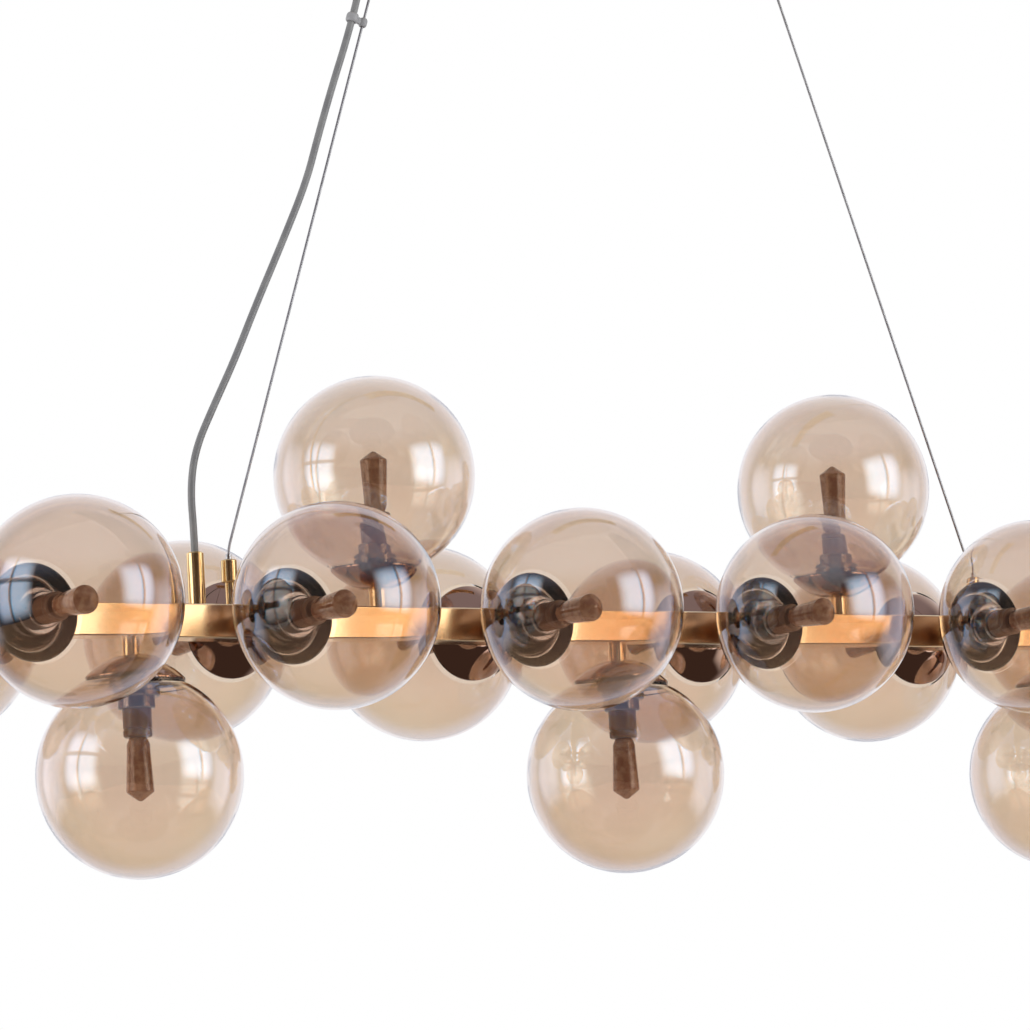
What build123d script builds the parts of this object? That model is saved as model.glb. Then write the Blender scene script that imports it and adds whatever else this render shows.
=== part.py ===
from build123d import *
import math
import os

# A straight chandelier: a square bar hangs on two steel cables and carries glass globes
# in front, behind, above and below. Millimetres, +Z up, +X along the bar, -Y to the front.
# The origin is on the ceiling, above the middle of the bar.

# Globes and their places along the bar
PAIR_COUNT = 6              # stations with one globe in front and one behind
PAIR_PITCH = 210.0          # from pair to pair; one upright globe stands half way between
GLOBE_DIAMETER = 150.0
GLOBE_WALL = 2.0
GLOBE_NECK_LENGTH = 5.0     # glass neck outside the sphere, under the cap
GLOBE_CLEARANCE = 0.3       # glass to its carrier and to its cap

# Bar
DROP = 548.0                # ceiling to the bar's axis
BAR_SIDE = 25.0
BAR_WALL = 1.5
BAR_CORNER_RADIUS = 1.2
BAR_OVERHANG = 30.0         # bar beyond the axis of the last pair
PLUG_CAP_THICKNESS = 2.0
PLUG_DEPTH = 12.0
PLUG_WALL = 2.0
PLUG_CLEARANCE = 0.1

# Stem, hollow rod and nut of each lamp
STEM_DIAMETER = 15.0
STEM_LENGTH = 15.0
ROD_DIAMETER = 10.0
ROD_BORE = 7.0
ROD_TAIL = 1.5              # rod past its nut
NUT_ACROSS_FLATS = 14.0
NUT_THICKNESS = 4.0
THREAD_GAP = 0.05           # thread to nut, on the radius
HOLE_GAP = 0.2              # rod or shank to a plain hole, on the radius

# Cap behind each globe
CAP_DIAMETER = 72.0
CAP_DEPTH = 17.0
CAP_LIP = 2.0               # straight stretch at the rim
CAP_SEAT_DIAMETER = 22.0    # flat seat on the stem
CAP_WALL = 1.2

# Carrier that the globe screws on
CARRIER_DIAMETER = 35.0
CARRIER_LENGTH = 18.5       # wide part
CARRIER_COLLAR_DIAMETER = 27.0
CARRIER_COLLAR_LENGTH = 8.5
CARRIER_FLOOR = 5.5
CARRIER_FOOT_DIAMETER = 19.0
CARRIER_FOOT_LENGTH = 7.8
CARRIER_CHAMFER = 1.0

# Lampholder and capsule bulb with two pins
HOLDER_DIAMETER = 21.0
HOLDER_LENGTH = 42.0
HOLDER_CHAMFER = 1.2
HOLDER_GAP = 0.25           # holder to carrier, on the radius
PIN_SPACING = 9.0
PIN_DIAMETER = 2.2
PIN_LENGTH = 11.0
PIN_GAP = 0.2
BULB_DIAMETER = 20.6        # at its widest, near the tip
BULB_LENGTH = 46.0          # holder to tip
BULB_NECK_DIAMETER = 12.6   # at the holder
BULB_WAIST_DIAMETER = 17.0
BULB_WAIST_HEIGHT = 5.0     # holder to the waist
BULB_POINT_LENGTH = 6.5
BULB_TIP_DIAMETER = 2.6

# Wires in the bar
TRUNK_DIAMETER = 6.0
WIRE_GAP = 1.6              # wires to a rod's bore, on the radius

# Steel cables, grippers and ball ends
CABLE_DIAMETER = 2.0
CABLE_BEND_RADIUS = 15.0
CABLE_BEND_RISE = 3.5       # from the plunger's top to the bend
CABLE_TAIL = 9.5            # cable below the gripper's chamber
CABLE_EXIT_X = 179.0        # ferrule axis, each side of the middle
GRIPPER_X = 338.0           # gripper axis, each side of the middle
GRIPPER_NECK_DIAMETER = 6.8
GRIPPER_NECK_LENGTH = 17.0
GRIPPER_SHANK_DIAMETER = 5.9
GRIPPER_BODY_DIAMETER = 12.0
GRIPPER_BODY_LENGTH = 17.0
GRIPPER_EDGE_RADIUS = 1.2
GRIPPER_FLOOR = 2.5
GRIPPER_ROOF = 2.0
GRIPPER_NUT_ACROSS_FLATS = 10.0
GRIPPER_NUT_THICKNESS = 3.0
CHAMBER_TOP_DIAMETER = 7.0
CHAMBER_FLOOR_DIAMETER = 9.6
PLUNGER_DIAMETER = 4.4
PLUNGER_HEIGHT = 4.0        # above the gripper's roof
PLUNGER_TRAVEL = 2.5
PLUNGER_FLANGE_DIAMETER = 5.8
PLUNGER_FLANGE_THICKNESS = 1.5
PLUNGER_GAP = 0.3           # plunger to cable, roof and hole
GRIP_BALL_COUNT = 3
GRIP_BALL_DIAMETER = 2.2
GRIP_BALL_GAP = 0.25
SPRING_WIRE_DIAMETER = 0.6
SPRING_DIAMETER = 5.0       # at the middle of the wire
SPRING_TURNS = 4
SPRING_GAP = 0.1            # spring to chamber floor and balls
BALL_END_DIAMETER = 6.4
BALL_END_GAP = 0.3          # ball to ferrule
SWAY_ANGLE = 12.0           # swing to each side that the ferrules leave room for, degrees

# Power cord, its gland on the bar and its clip on the left cable
CORD_DIAMETER = 5.5
CORD_GAP = 0.15             # cord to gland and clip, on the radius
GLAND_DIAMETER = 13.0
GLAND_BASE_LENGTH = 17.5
GLAND_CAP_LENGTH = 21.5
GLAND_CHAMFER = 1.0
CLIP_HEIGHT = 7.0
CLIP_CORD_RING_WALL = 1.8
CLIP_CABLE_RING_WALL = 2.0
CLIP_WEB_THICKNESS = 3.0

# Ceiling fitting
CANOPY_LENGTH = 460.0
CANOPY_WIDTH = 70.0
CANOPY_HEIGHT = 28.0
CANOPY_WALL = 1.2
CANOPY_CORNER_RADIUS = 8.0
CANOPY_EDGE_RADIUS = 2.5
BRACKET_WIDTH = 30.0
BRACKET_THICKNESS = 2.0
BRACKET_TAB_LENGTH = 16.0
BRACKET_GAP = 0.3           # tab to the cover's end wall
SLOT_SPACING = 150.0
SLOT_LENGTH = 25.0
SLOT_WIDTH = 5.0
SCREW_DIAMETER = 4.0
SCREW_HEAD_DIAMETER = 7.6
SCREW_HEAD_HEIGHT = 2.4
SCREW_LENGTH = 9.0
EARTH_SCREW_X = 120.0
FERRULE_DIAMETER = 13.0
FERRULE_HEIGHT = 8.5        # below the cover
FERRULE_STUD_LENGTH = 7.0   # above the cover's underside
PIVOT_DEPTH = 3.0           # cable pivot below the cover's underside
MOUTH_GAP = 0.35            # cable or cord to the mouth of its exit, at full sway
CORD_EXIT_X = -197.0
BUSHING_DIAMETER = 14.0
CORD_END_RISE = 0.4         # cord's end above the pivot
LEAD_GAP = 1.7              # cord's end to the lead in the canopy
LEAD_STRAIGHT = 0.5         # straight lead between its bushing and its bend
TERMINAL_X = -134.0
TERMINAL_LENGTH = 32.0
TERMINAL_WIDTH = 16.0
TERMINAL_HEIGHT = 13.0
TERMINAL_POLES = 3
TERMINAL_SCREW_DIAMETER = 3.2
TERMINAL_SCREW_LENGTH = 4.0
TERMINAL_SCREW_GAP = 0.15

# Cord's route as (X, height above the bar's axis), from the gland to the canopy
CORD_ROUTE = [
    (-366.0, 34.0),
    (-366.0, 66.0),
    (-367.4, 98.0),
    (-361.5, 128.0),
    (-344.5, 160.0),
    (-325.0, 195.0),
    (-305.5, 235.0),
    (-280.0, 284.0),
    (-256.5, 331.0),
    (-244.5, 366.0),
    (-230.0, 405.0),
    (-215.3, 441.5),
    (-203.2, 476.5),
    (-198.2, 497.5),
]
CLIP_RUN = 11               # run of the route that passes through the clip
CORD_RUN_SHARE = 0.45       # share of the shorter run that each arc takes

# Values worked out from the sizes above
BAR_HALF = BAR_SIDE / 2
BAR_INNER = BAR_HALF - BAR_WALL
BAR_LENGTH = (PAIR_COUNT - 1) * PAIR_PITCH + 2 * BAR_OVERHANG
BAR_Z = -DROP
GLOBE_RADIUS = GLOBE_DIAMETER / 2
ROD_RADIUS = ROD_DIAMETER / 2
HOLE_RADIUS = ROD_RADIUS + HOLE_GAP
NUT_BORE_RADIUS = ROD_RADIUS + THREAD_GAP
BRANCH_RADIUS = ROD_BORE / 2 - WIRE_GAP
CORD_RADIUS = CORD_DIAMETER / 2
CABLE_RADIUS = CABLE_DIAMETER / 2
GLAND_X = CORD_ROUTE[0][0]

# Heights along a lamp's own axis, counted from the bar's axis
ROD_START = BAR_INNER - NUT_THICKNESS - ROD_TAIL
CAP_START = BAR_HALF + STEM_LENGTH
CAP_RIM = CAP_START + CAP_DEPTH
CAP_RIM_INNER_RADIUS = CAP_DIAMETER / 2 - CAP_WALL
GLOBE_CENTRE = CAP_RIM + GLOBE_CLEARANCE + math.sqrt(GLOBE_RADIUS**2 - CAP_RIM_INNER_RADIUS**2)
CARRIER_START = CAP_START + CAP_WALL
CARRIER_FLANGE = CARRIER_START + CARRIER_FOOT_LENGTH
HOLDER_START = CARRIER_FLANGE + CARRIER_FLOOR
HOLDER_END = HOLDER_START + HOLDER_LENGTH
BULB_TIP = HOLDER_END + BULB_LENGTH

# Heights of the gripper's parts above the bar's axis
GRIPPER_BODY_START = BAR_HALF + GRIPPER_NECK_LENGTH
GRIPPER_TOP = GRIPPER_BODY_START + GRIPPER_BODY_LENGTH
CHAMBER_FLOOR = GRIPPER_BODY_START + GRIPPER_FLOOR
CHAMBER_TOP = GRIPPER_TOP - GRIPPER_ROOF
PLUNGER_FLANGE_TOP = CHAMBER_TOP - PLUNGER_GAP
GRIP_BALL_TOP = PLUNGER_FLANGE_TOP - PLUNGER_FLANGE_THICKNESS - SPRING_GAP
PLUNGER_TOP = GRIPPER_TOP + PLUNGER_HEIGHT
CABLE_BEND = PLUNGER_TOP + CABLE_BEND_RISE

# Ceiling fitting
CANOPY_FLOOR = -CANOPY_HEIGHT
PIVOT_Z = CANOPY_FLOOR - PIVOT_DEPTH
LEAD_START = PIVOT_Z + CORD_END_RISE + LEAD_GAP
BRACKET_HALF = CANOPY_LENGTH / 2 - CANOPY_WALL - BRACKET_GAP
COVER_SCREW_Z = -(BRACKET_THICKNESS + BRACKET_TAB_LENGTH) / 2
TERMINAL_END_X = TERMINAL_X - TERMINAL_LENGTH / 2
TERMINAL_FLOOR = -BRACKET_THICKNESS - TERMINAL_HEIGHT


def turned(points):
    """Solid of revolution about Z of a closed outline of (radius, height) points."""
    outline = Polyline(*[(radius, 0, height) for radius, height in points], close=True)
    return revolve(make_face(outline), Axis.Z)


def rod(radius, low, high):
    """Round bar about Z from one height to another."""
    return Pos(0, 0, low) * Cylinder(radius, high - low, align=(Align.CENTER, Align.CENTER, Align.MIN))


def hex_nut(across_flats, bore_radius, low, thickness):
    """Hexagon nut about Z."""
    corner_radius = across_flats / math.sqrt(3)
    outline = RegularPolygon(corner_radius, 6, rotation=30) - Circle(bore_radius)
    return Pos(0, 0, low) * extrude(outline, thickness)


def sphere_point(centre, radius, at_radius):
    """Point of a sphere's outline, on the side nearer the bar."""
    return (at_radius, 0, centre - math.sqrt(radius**2 - at_radius**2))


def sphere_arc(centre, radius, start_radius, end_radius):
    """Arc of a sphere's outline between two distances from its axis."""
    middle = (start_radius + end_radius) / 2
    points = [sphere_point(centre, radius, at) for at in (start_radius, middle, end_radius)]
    return ThreePointArc(*points)


def lamp_planes():
    """Work planes of the lamps by side: origin on the bar's axis, Z out along the lamp."""
    half = (PAIR_COUNT - 1) / 2
    pairs = [(index - half) * PAIR_PITCH for index in range(PAIR_COUNT)]
    between = [(first + second) / 2 for first, second in zip(pairs, pairs[1:])]
    places = {
        "front": (pairs, (0, -1, 0)),
        "back": (pairs, (0, 1, 0)),
        "top": (between[1::2], (0, 0, 1)),
        "bottom": (between[0::2], (0, 0, -1)),
    }
    return {
        side: [Plane((x, 0, BAR_Z), x_dir=(1, 0, 0), z_dir=outward) for x in stations]
        for side, (stations, outward) in places.items()
    }


def copies(piece, planes):
    """Group of one piece set at each plane."""
    return Compound(children=[plane.location * piece for plane in planes])


def on_bar(piece, x):
    """Piece moved from the origin to a place on the bar's axis."""
    return Pos(x, 0, BAR_Z) * piece


# Pieces of one lamp, along Z from the bar's axis

def stem():
    return rod(STEM_DIAMETER / 2, BAR_HALF, CAP_START) - rod(HOLE_RADIUS, BAR_HALF, CAP_START)


def hollow_rod():
    end = HOLDER_START - ROD_TAIL
    return rod(ROD_RADIUS, ROD_START, end) - rod(ROD_BORE / 2, ROD_START, end)


def rod_nut():
    return hex_nut(NUT_ACROSS_FLATS, NUT_BORE_RADIUS, BAR_INNER - NUT_THICKNESS, NUT_THICKNESS)


def cap():
    """Domed cup: a flat seat, a spherical side and a short straight lip."""
    seat = CAP_SEAT_DIAMETER / 2
    edge = CAP_DIAMETER / 2
    shoulder = CAP_RIM - CAP_LIP
    centre = (edge**2 - seat**2 + shoulder**2 - CAP_START**2) / (2 * (shoulder - CAP_START))
    outer = math.hypot(seat, centre - CAP_START)
    inner = outer - CAP_WALL
    inner_seat = math.sqrt(inner**2 - (centre - CARRIER_START) ** 2)
    inner_shoulder = sphere_point(centre, inner, CAP_RIM_INNER_RADIUS)
    outline = [
        Line((HOLE_RADIUS, 0, CAP_START), (seat, 0, CAP_START)),
        sphere_arc(centre, outer, seat, edge),
        Polyline((edge, 0, shoulder), (edge, 0, CAP_RIM), (CAP_RIM_INNER_RADIUS, 0, CAP_RIM), inner_shoulder),
        sphere_arc(centre, inner, CAP_RIM_INNER_RADIUS, inner_seat),
        Polyline((inner_seat, 0, CARRIER_START), (HOLE_RADIUS, 0, CARRIER_START), (HOLE_RADIUS, 0, CAP_START)),
    ]
    return revolve(make_face(Curve() + outline), Axis.Z)


def globe_carrier():
    """Cup on the hollow rod: a foot on the cap's seat, the wide part that the globe screws on, and a collar."""
    foot = CARRIER_FOOT_DIAMETER / 2
    edge = CARRIER_DIAMETER / 2
    collar = CARRIER_COLLAR_DIAMETER / 2
    shoulder = CARRIER_FLANGE + CARRIER_LENGTH
    top = shoulder + CARRIER_COLLAR_LENGTH
    bore = HOLDER_DIAMETER / 2 + HOLDER_GAP
    return turned([
        (NUT_BORE_RADIUS, CARRIER_START),
        (foot, CARRIER_START),
        (foot, CARRIER_FLANGE),
        (edge, CARRIER_FLANGE),
        (edge, shoulder - CARRIER_CHAMFER),
        (edge - CARRIER_CHAMFER, shoulder),
        (collar, shoulder),
        (collar, top - CARRIER_CHAMFER),
        (collar - CARRIER_CHAMFER, top),
        (bore, top),
        (bore, HOLDER_START),
        (NUT_BORE_RADIUS, HOLDER_START),
    ])


def at_pins(piece):
    """Two copies of a piece, at the bulb's pins."""
    return [Pos(side * PIN_SPACING / 2, 0, 0) * piece for side in (-1, 1)]


def lampholder():
    body = rod(HOLDER_DIAMETER / 2, HOLDER_START, HOLDER_END)
    body = chamfer(body.edges().filter_by(GeomType.CIRCLE).sort_by(Axis.Z)[-1], HOLDER_CHAMFER)
    socket = rod(PIN_DIAMETER / 2 + PIN_GAP, HOLDER_END - PIN_LENGTH - PIN_GAP, HOLDER_END)
    return body - at_pins(socket)


def bulb():
    """Capsule that widens from its neck to a blunt point, with two pins."""
    envelope = turned([
        (0, HOLDER_END),
        (BULB_NECK_DIAMETER / 2, HOLDER_END),
        (BULB_WAIST_DIAMETER / 2, HOLDER_END + BULB_WAIST_HEIGHT),
        (BULB_DIAMETER / 2, BULB_TIP - BULB_POINT_LENGTH),
        (BULB_TIP_DIAMETER / 2, BULB_TIP),
        (0, BULB_TIP),
    ])
    return envelope + at_pins(rod(PIN_DIAMETER / 2, HOLDER_END - PIN_LENGTH, HOLDER_END))


def globe():
    """Blown glass globe with a short screw neck over the carrier."""
    neck = CARRIER_DIAMETER / 2 + GLOBE_CLEARANCE
    neck_outside = neck + GLOBE_WALL
    inner_radius = GLOBE_RADIUS - GLOBE_WALL
    neck_foot = sphere_point(GLOBE_CENTRE, GLOBE_RADIUS, neck_outside)
    mouth = neck_foot[2] - GLOBE_NECK_LENGTH
    inner_foot = sphere_point(GLOBE_CENTRE, inner_radius, neck)
    outline = [
        Polyline(inner_foot, (neck, 0, mouth), (neck_outside, 0, mouth), neck_foot),
        ThreePointArc(neck_foot, (GLOBE_RADIUS, 0, GLOBE_CENTRE), (0, 0, GLOBE_CENTRE + GLOBE_RADIUS)),
        Line((0, 0, GLOBE_CENTRE + GLOBE_RADIUS), (0, 0, GLOBE_CENTRE + inner_radius)),
        ThreePointArc((0, 0, GLOBE_CENTRE + inner_radius), (inner_radius, 0, GLOBE_CENTRE), inner_foot),
    ]
    return revolve(make_face(Curve() + outline), Axis.Z)


# Bar and what is in it

def main_bar(planes):
    """Square tube with a hole at each lamp, gripper and gland."""
    section = RectangleRounded(BAR_SIDE, BAR_SIDE, BAR_CORNER_RADIUS) - Rectangle(2 * BAR_INNER, 2 * BAR_INNER)
    tube = Pos(-BAR_LENGTH / 2, 0, BAR_Z) * extrude(Plane.YZ * section, BAR_LENGTH)
    wall_hole = rod(HOLE_RADIUS, BAR_INNER - BAR_WALL, BAR_HALF + BAR_WALL)
    shank_hole = rod(GRIPPER_SHANK_DIAMETER / 2 + HOLE_GAP, BAR_INNER - BAR_WALL, BAR_HALF + BAR_WALL)
    holes = [plane.location * wall_hole for side in planes.values() for plane in side]
    holes.append(on_bar(wall_hole, GLAND_X))
    holes.extend(on_bar(shank_hole, side * GRIPPER_X) for side in (-1, 1))
    return tube - holes


def end_plug():
    """Plug at the +X end: a flush plate and a hollow square spigot."""
    spigot_side = 2 * (BAR_INNER - PLUG_CLEARANCE)
    plate = RectangleRounded(BAR_SIDE, BAR_SIDE, BAR_CORNER_RADIUS)
    spigot = Rectangle(spigot_side, spigot_side) - Rectangle(spigot_side - 2 * PLUG_WALL, spigot_side - 2 * PLUG_WALL)
    plug = extrude(Plane.YZ * plate, PLUG_CAP_THICKNESS) + extrude(Plane.YZ * spigot, -PLUG_DEPTH)
    return on_bar(plug, BAR_LENGTH / 2)


def wiring_harness(planes):
    """Trunk along the bar, with a branch to each lampholder and one to the power cord."""
    last_pair = planes["front"][-1].origin.X
    trunk = on_bar(Rot(0, 90, 0) * Cylinder(TRUNK_DIAMETER / 2, 2 * last_pair + TRUNK_DIAMETER), 0)
    branch = rod(BRANCH_RADIUS, 0, HOLDER_START)
    branches = [plane.location * branch for side in planes.values() for plane in side]
    branches.append(on_bar(rod(BRANCH_RADIUS, 0, CORD_ROUTE[0][1]), GLAND_X))
    return trunk + branches


def gland_base():
    """Threaded foot of the cord gland."""
    body = rod(GLAND_DIAMETER / 2, BAR_HALF, BAR_HALF + GLAND_BASE_LENGTH)
    shank = rod(ROD_RADIUS, ROD_START, BAR_HALF)
    return body + shank - rod(CORD_RADIUS + CORD_GAP, ROD_START, BAR_HALF + GLAND_BASE_LENGTH)


def gland_cap():
    low = BAR_HALF + GLAND_BASE_LENGTH
    body = rod(GLAND_DIAMETER / 2, low, low + GLAND_CAP_LENGTH)
    body = chamfer(body.edges().filter_by(GeomType.CIRCLE).sort_by(Axis.Z)[-1], GLAND_CHAMFER)
    return body - rod(CORD_RADIUS + CORD_GAP, low, low + GLAND_CAP_LENGTH)


# Cable gripper, about Z from the bar's axis

def gripper_body():
    """Neck and barrel with a tapered chamber, open at the top for the plunger."""
    outside = rod(GRIPPER_BODY_DIAMETER / 2, GRIPPER_BODY_START, GRIPPER_TOP)
    outside = fillet(outside.edges().filter_by(GeomType.CIRCLE), GRIPPER_EDGE_RADIUS)
    outside += rod(GRIPPER_NECK_DIAMETER / 2, BAR_HALF, GRIPPER_BODY_START)
    outside += rod(GRIPPER_SHANK_DIAMETER / 2, ROD_START, BAR_HALF)
    chamber = turned([
        (0, CHAMBER_FLOOR),
        (CHAMBER_FLOOR_DIAMETER / 2, CHAMBER_FLOOR),
        (CHAMBER_TOP_DIAMETER / 2, CHAMBER_TOP),
        (0, CHAMBER_TOP),
    ])
    plunger_hole = rod(PLUNGER_DIAMETER / 2 + PLUNGER_GAP, CHAMBER_TOP, GRIPPER_TOP)
    cable_hole = rod(CABLE_RADIUS + PLUNGER_GAP, ROD_START, CHAMBER_FLOOR)
    return outside - chamber - plunger_hole - cable_hole


def gripper_nut():
    low = BAR_INNER - GRIPPER_NUT_THICKNESS
    return hex_nut(GRIPPER_NUT_ACROSS_FLATS, GRIPPER_SHANK_DIAMETER / 2 + THREAD_GAP, low, GRIPPER_NUT_THICKNESS)


def plunger():
    """Release sleeve round the cable, kept in the barrel by its flange."""
    sleeve = rod(PLUNGER_DIAMETER / 2, PLUNGER_FLANGE_TOP, PLUNGER_TOP)
    flange = rod(PLUNGER_FLANGE_DIAMETER / 2, PLUNGER_FLANGE_TOP - PLUNGER_FLANGE_THICKNESS, PLUNGER_FLANGE_TOP)
    bore = rod(CABLE_RADIUS + PLUNGER_GAP, PLUNGER_FLANGE_TOP - PLUNGER_FLANGE_THICKNESS, PLUNGER_TOP)
    return sleeve + flange - bore


def grip_balls():
    """Balls round the cable that wedge in the taper."""
    ball_radius = GRIP_BALL_DIAMETER / 2
    ring_radius = CABLE_RADIUS + GRIP_BALL_GAP + ball_radius
    ball = Pos(ring_radius, 0, GRIP_BALL_TOP - ball_radius) * Sphere(ball_radius)
    turn = 360 / GRIP_BALL_COUNT
    return [Rot(0, 0, index * turn) * ball for index in range(GRIP_BALL_COUNT)]


def gripper_spring():
    """Coil spring under the balls, one unbroken wire."""
    wire_radius = SPRING_WIRE_DIAMETER / 2
    low = CHAMBER_FLOOR + SPRING_GAP + wire_radius
    high = GRIP_BALL_TOP - GRIP_BALL_DIAMETER - SPRING_GAP - wire_radius
    pitch = (high - low) / SPRING_TURNS
    path = Pos(0, 0, low) * Helix(pitch, high - low, SPRING_DIAMETER / 2)
    section = Plane(path @ 0, z_dir=path % 0) * Circle(wire_radius)
    print(f"gripper spring: gap between turns {pitch - SPRING_WIRE_DIAMETER:.2f} mm")
    return sweep(section, path, is_frenet=True)


# Cables, cord and clip

def above_bar(points):
    """Points of (X, height above the bar's axis) as places in the part's frame."""
    return [Vector(x, 0, BAR_Z + height) for x, height in points]


def tube(path, radius):
    """Round tube along a path, its volume set against section times length."""
    solid = sweep(Plane(path @ 0, z_dir=path % 0) * Circle(radius), path)
    expected = math.pi * radius**2 * path.length
    print(f"tube: length {path.length:.1f} mm, volume {solid.volume / expected:.4f} of section times length")
    return solid


def cable_pivot(side):
    return Vector(side * CABLE_EXIT_X, 0, PIVOT_Z)


def cable_bend(side):
    return Vector(side * GRIPPER_X, 0, BAR_Z + CABLE_BEND)


def cable_direction(side):
    """Unit vector down the cable, from its ball end to its gripper."""
    return (cable_bend(side) - cable_pivot(side)).normalized()


def cable(side):
    """Steel cable from its gripper, round the bend above the plunger, to its ball end."""
    foot = Vector(side * GRIPPER_X, 0, BAR_Z + CHAMBER_FLOOR - CABLE_TAIL)
    top = cable_pivot(side) - cable_direction(side) * (BALL_END_DIAMETER / 2)
    return tube(FilletPolyline(foot, cable_bend(side), top, radius=CABLE_BEND_RADIUS), CABLE_RADIUS)


def along(start, direction):
    """Plane at a point with Z along a direction."""
    return Plane(start, z_dir=direction)


def ball_end(side):
    plane = along(cable_pivot(side), cable_direction(side))
    bore = rod(CABLE_RADIUS + THREAD_GAP, -BALL_END_DIAMETER, BALL_END_DIAMETER)
    return plane.location * (Sphere(BALL_END_DIAMETER / 2) - bore)


def cord_points():
    """Places of the cord's route, its last point just past the pivot in the bushing."""
    return above_bar(CORD_ROUTE) + [Vector(CORD_EXIT_X, 0, PIVOT_Z + CORD_END_RISE)]


def cord_radii(points):
    """Radius of the arc at each corner, as large as its two runs allow."""
    runs = [second - first for first, second in zip(points, points[1:])]
    radii = []
    for before, after in zip(runs, runs[1:]):
        half_turn = math.radians(before.get_angle(after)) / 2
        radii.append(CORD_RUN_SHARE * min(before.length, after.length) / math.tan(half_turn))
    return radii


def power_cord():
    points = cord_points()
    radii = cord_radii(points)
    print("cord radii:", ", ".join(f"{radius:.0f}" for radius in radii))
    return tube(FilletPolyline(*points, radius=radii), CORD_RADIUS)


def cord_clip():
    """Two short rings joined by a web: one on the cord, one on the left cable."""
    points = cord_points()
    start, end = points[CLIP_RUN], points[CLIP_RUN + 1]
    cord_centre = (start + end) / 2
    cord_plane = along(cord_centre, end - start)
    direction = cable_direction(-1)
    steps_down = (cord_centre - cable_pivot(-1)).dot(direction)
    cable_plane = along(cable_pivot(-1) + direction * steps_down, direction)
    cord_bore = CORD_RADIUS + CORD_GAP
    cable_bore = CABLE_RADIUS + CORD_GAP
    half = CLIP_HEIGHT / 2
    gap = cable_plane.origin - cord_centre
    web_plane = Plane(cord_centre, x_dir=gap, z_dir=gap.cross(Vector(0, 1, 0)))
    web = Box(gap.length, CLIP_WEB_THICKNESS, CLIP_HEIGHT, align=(Align.MIN, Align.CENTER, Align.CENTER))
    body = web_plane.location * web
    body += cord_plane.location * rod(cord_bore + CLIP_CORD_RING_WALL, -half, half)
    body += cable_plane.location * rod(cable_bore + CLIP_CABLE_RING_WALL, -half, half)
    body -= cord_plane.location * rod(cord_bore, -CLIP_HEIGHT, CLIP_HEIGHT)
    return body - cable_plane.location * rod(cable_bore, -CLIP_HEIGHT, CLIP_HEIGHT)


# Ceiling fitting

def canopy_cover():
    """Long open-topped cover with holes for the ferrules, the bushing and the two end screws."""
    outside = extrude(RectangleRounded(CANOPY_LENGTH, CANOPY_WIDTH, CANOPY_CORNER_RADIUS), -CANOPY_HEIGHT)
    outside = fillet(outside.faces().sort_by(Axis.Z)[0].edges(), CANOPY_EDGE_RADIUS)
    inner_corner = CANOPY_CORNER_RADIUS - CANOPY_WALL
    inner_length = CANOPY_LENGTH - 2 * CANOPY_WALL
    inner_width = CANOPY_WIDTH - 2 * CANOPY_WALL
    inside = extrude(RectangleRounded(inner_length, inner_width, inner_corner), CANOPY_WALL - CANOPY_HEIGHT)
    inside = fillet(inside.faces().sort_by(Axis.Z)[0].edges(), CANOPY_EDGE_RADIUS - CANOPY_WALL)
    exit_hole = rod(HOLE_RADIUS, CANOPY_FLOOR - CANOPY_WALL, CANOPY_FLOOR + 2 * CANOPY_WALL)
    exits = [Pos(x, 0, 0) * exit_hole for x in (-CABLE_EXIT_X, CABLE_EXIT_X, CORD_EXIT_X)]
    screw_hole = Rot(0, 90, 0) * Cylinder(SCREW_DIAMETER / 2 + HOLE_GAP, CANOPY_LENGTH + CANOPY_WALL)
    return outside - inside - exits - Pos(0, 0, COVER_SCREW_Z) * screw_hole


def ceiling_bracket():
    """Strip on the ceiling with two slots and a tab turned down at each end."""
    strip = extrude(Rectangle(2 * BRACKET_HALF, BRACKET_WIDTH), -BRACKET_THICKNESS)
    tab = Box(BRACKET_THICKNESS, BRACKET_WIDTH, BRACKET_TAB_LENGTH, align=(Align.MAX, Align.CENTER, Align.MAX))
    strip += Pos(BRACKET_HALF, 0, -BRACKET_THICKNESS) * tab
    strip += Pos(BRACKET_THICKNESS - BRACKET_HALF, 0, -BRACKET_THICKNESS) * tab
    slot = extrude(SlotOverall(SLOT_LENGTH, SLOT_WIDTH), -2 * BRACKET_THICKNESS, both=True)
    strip -= [Pos(side * SLOT_SPACING / 2, 0, 0) * slot for side in (-1, 1)]
    thread = SCREW_DIAMETER / 2 + THREAD_GAP
    strip -= Pos(0, 0, COVER_SCREW_Z) * Rot(0, 90, 0) * Cylinder(thread, CANOPY_LENGTH)
    return strip - Pos(EARTH_SCREW_X, 0, 0) * rod(thread, -2 * BRACKET_THICKNESS, BRACKET_THICKNESS)


def pan_screw(length):
    """Screw with its seat at the origin and its shank along +Z."""
    head = rod(SCREW_HEAD_DIAMETER / 2, -SCREW_HEAD_HEIGHT, 0)
    head = chamfer(head.edges().filter_by(GeomType.CIRCLE).sort_by(Axis.Z)[0], SCREW_HEAD_HEIGHT / 2)
    return head + rod(SCREW_DIAMETER / 2, 0, length)


def cover_screws():
    screw = pan_screw(SCREW_LENGTH)
    return [
        Pos(side * CANOPY_LENGTH / 2, 0, COVER_SCREW_Z) * Rot(0, -side * 90, 0) * screw
        for side in (-1, 1)
    ]


def canopy_nut(x):
    return Pos(x, 0, 0) * hex_nut(NUT_ACROSS_FLATS, NUT_BORE_RADIUS, CANOPY_FLOOR + CANOPY_WALL, NUT_THICKNESS)


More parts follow.
